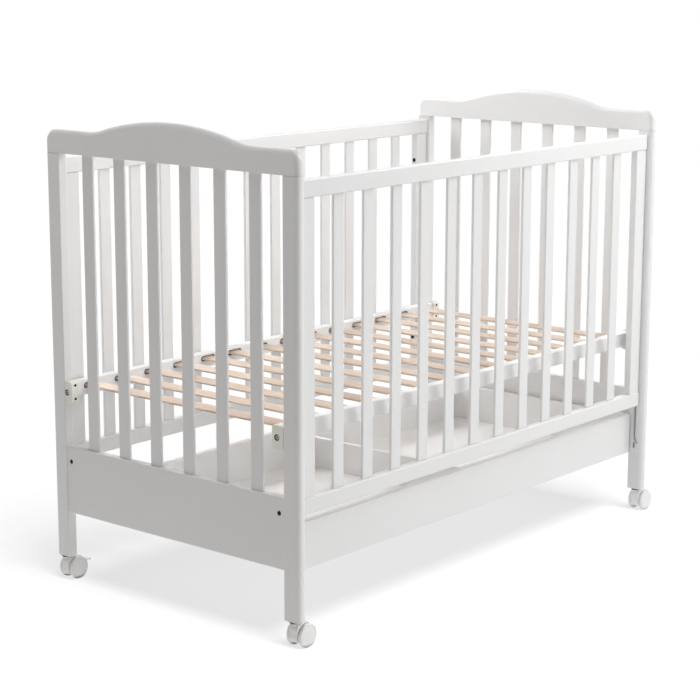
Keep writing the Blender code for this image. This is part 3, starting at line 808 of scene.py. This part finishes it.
def caster(corner):
    """A twin-wheel caster: hood and stem, two domed wheels on an axle, and a brake at the back."""
    _, hood_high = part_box(f"caster_hood_{corner}")
    wheel_low, wheel_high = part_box(f"caster_wheels_{corner}")
    centre = (wheel_low + wheel_high) / 2
    radius = (wheel_high.x - wheel_low.x) / 2
    outer = (wheel_high.y - wheel_low.y) / 2
    hood_r = hood_high.x - centre.x
    post_low, post_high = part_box(f"post_{corner}")
    stem_x = (post_low.x + post_high.x) / 2
    web = disc_mesh(hood_r, HOOD_W, 64)
    rims = [e for e in web.edges if abs(e.verts[0].co.z - e.verts[1].co.z) < 1e-7]
    soften(web, rims, 0.0014, 3)
    hood = solid(f"hood_{corner}", pose(web, centre, 1), PLASTIC)
    back = centre.x - hood_r
    shoulder = rounded((back, centre.y - HOOD_W / 2 + 0.0003, centre.z - 0.006),
                       (centre.x + HOOD_CORNER, centre.y + HOOD_W / 2 - 0.0003, centre.z + hood_r),
                       1, HOOD_CORNER, 0.0012, 8)
    carve(hood, shoulder, PLASTIC, "UNION")
    carve(hood, block_mesh((centre.x - 0.04, centre.y - 0.012, -0.012),
                           (centre.x + 0.04, centre.y + 0.012, HOOD_FOOT)))
    if corner.startswith("back"):
        brake(corner, hood, centre.y)
    carve(hood, pose(disc_mesh(AXLE_R + 0.0003, 0.03, 24), centre, 1))
    collar = lathe(((0.0, 0.0405), (0.0050, 0.0405), (0.0052, 0.0505), (0.0098, 0.0510),
                    (0.0100, 0.0526), (0.0094, 0.0531), (0.0054, 0.0531), (0.0054, 0.0775),
                    (0.0047, 0.0785), (0.0, 0.0785)))
    bmesh.ops.translate(collar, vec=(stem_x, centre.y, 0), verts=collar.verts)
    carve(hood, collar, PLASTIC, "UNION")
    settle(hood, f"caster_{corner}", "white_plastic", f"caster_hood_{corner}")
    ring = lathe(((0.0056, 0.0532), (0.0116, 0.0532), (0.0120, 0.0537), (0.0120, 0.0552),
                  (0.0116, 0.0557), (0.0056, 0.0557), (0.0056, 0.0532)))
    bmesh.ops.translate(ring, vec=(stem_x, centre.y, 0), verts=ring.verts)
    settle(solid(f"swivel_ring_{corner}", ring, DARK_PLASTIC_AND_SHADE), f"caster_{corner}", "dark_steel")
    gap = HOOD_W / 2 + WHEEL_GAP
    wheel = ((0.0, gap), (radius - 0.0018, gap), (radius - 0.0003, gap + 0.0008),
             (radius, gap + 0.0022), (radius, outer - 0.0030), (radius - 0.0006, outer - 0.0014),
             (radius - 0.0022, outer - 0.0005), (radius - 0.0034, outer - 0.0005),
             (radius - 0.0038, outer - 0.0011), (radius - 0.0042, outer - 0.0005),
             (radius * 0.6, outer - 0.0001), (radius * 0.3, outer), (0.0, outer))
    pair = []
    for s in (-1, 1):
        half_wheel = lathe(wheel, 64)
        bmesh.ops.scale(half_wheel, vec=(1, 1, s), verts=half_wheel.verts)
        pair.append(pose(half_wheel, centre, 1))
    axle = pose(disc_mesh(AXLE_R, 2 * gap + 0.004, 24), centre, 1)
    wheels = solid(f"wheels_{corner}_moulding", merge(*pair, axle), PLASTIC)
    settle(wheels, f"wheels_{corner}", "white_plastic", f"caster_wheels_{corner}", sharp=50.0)


# ---------------------------------------------------------------- studio
def hang(data, spot, towards, lit):
    """Puts a lamp in place, aimed along towards, lighting only the objects in lit."""
    lamp = bpy.data.objects.new(data.name, data)
    bpy.context.scene.collection.objects.link(lamp)
    lamp.location = spot
    lamp.rotation_euler = towards.to_track_quat("-Z", "Y").to_euler()
    lamp.light_linking.receiver_collection = lit


def studio():
    """Pale floor, soft lights and the camera at the catalogue three-quarter view."""
    scene = bpy.context.scene
    scene.view_settings.view_transform = "Standard"
    sheet = bmesh.new()
    bmesh.ops.create_grid(sheet, x_segments=2, y_segments=2, size=FLOOR_HALF)
    floor = solid("studio_floor", sheet, floor_paint())
    floor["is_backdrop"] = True
    world = bpy.data.worlds.new("studio")
    scene.world = world
    world.use_nodes = True
    tree = world.node_tree
    fill = tree.nodes["Background"]
    fill.inputs["Color"].default_value = (1.0, 1.0, 1.0, 1.0)
    fill.inputs["Strength"].default_value = FILL
    seen = tree.nodes.new("ShaderNodeBackground")
    seen.inputs["Color"].default_value = (1.0, 1.0, 1.0, 1.0)
    seen.inputs["Strength"].default_value = 1.0
    path = tree.nodes.new("ShaderNodeLightPath")
    mix = tree.nodes.new("ShaderNodeMixShader")
    tree.links.new(path.outputs["Is Camera Ray"], mix.inputs["Fac"])
    tree.links.new(fill.outputs["Background"], mix.inputs[1])
    tree.links.new(seen.outputs["Background"], mix.inputs[2])
    tree.links.new(mix.outputs["Shader"], tree.nodes["World Output"].inputs["Surface"])
    lit = {name: bpy.data.collections.new(f"lit_{name}")
           for name in ("crib", "floor", "back", "not_back", "top", "left", "not_left", "right",
                        "not_right")}
    lit["floor"].objects.link(floor)
    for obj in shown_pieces():
        lit["crib"].objects.link(obj)
        crown = obj.name == "crowned_rail_left"
        back = crown or "back" in obj.name or obj.name.startswith(SEEN_FROM_BEHIND)
        lit["back" if back else "not_back"].objects.link(obj)
        if back and not crown:
            lit["top"].objects.link(obj)
        lit["left" if "left" in obj.name else "not_left"].objects.link(obj)
        lit["right" if crown or "right" in obj.name else "not_right"].objects.link(obj)
    for name, group, spot, target, size, power, tint in SOFTBOXES:
        data = bpy.data.lights.new(name, "AREA")
        data.shape = "RECTANGLE"
        data.size, data.size_y = size
        data.energy = power
        data.color = tint
        hang(data, spot, Vector(target) - Vector(spot), lit[group])
    for name, group, towards, across, power in SUNS:
        data = bpy.data.lights.new(name, "SUN")
        data.angle = math.radians(across)
        data.energy = power
        hang(data, (MID_X, 0.0, 4.0), Vector(towards), lit[group])
    camera = bpy.data.objects.new("camera", bpy.data.cameras.new("camera"))
    scene.collection.objects.link(camera)
    camera.data.sensor_width = 36.0
    camera.data.lens = LENS
    yaw, pitch, roll = (math.radians(a) for a in CAMERA_TURN)
    camera.matrix_world = (Matrix.Translation((MID_X + CAMERA_SPOT[0], *CAMERA_SPOT[1:]))
                           @ Matrix.Rotation(-yaw, 4, "Z")
                           @ Matrix.Rotation(math.pi / 2 + pitch, 4, "X")
                           @ Matrix.Rotation(roll, 4, "Z"))
    scene.camera = camera


for side_name, side_sign in ENDS:
    crowned_rail(side_name)
    lower_panel(side_name, side_sign)
for corner_name, corner_x, corner_y in CORNERS:
    post(corner_name, corner_x, corner_y)
long_side("gate", "gate")
long_side("frame", "back")
gate_fittings()
base()
for corner_name, corner_x, corner_y in CORNERS:
    bracket(corner_name, corner_x, corner_y)
drawer()
for corner_name, corner_x, corner_y in CORNERS:
    caster(corner_name)
studio()
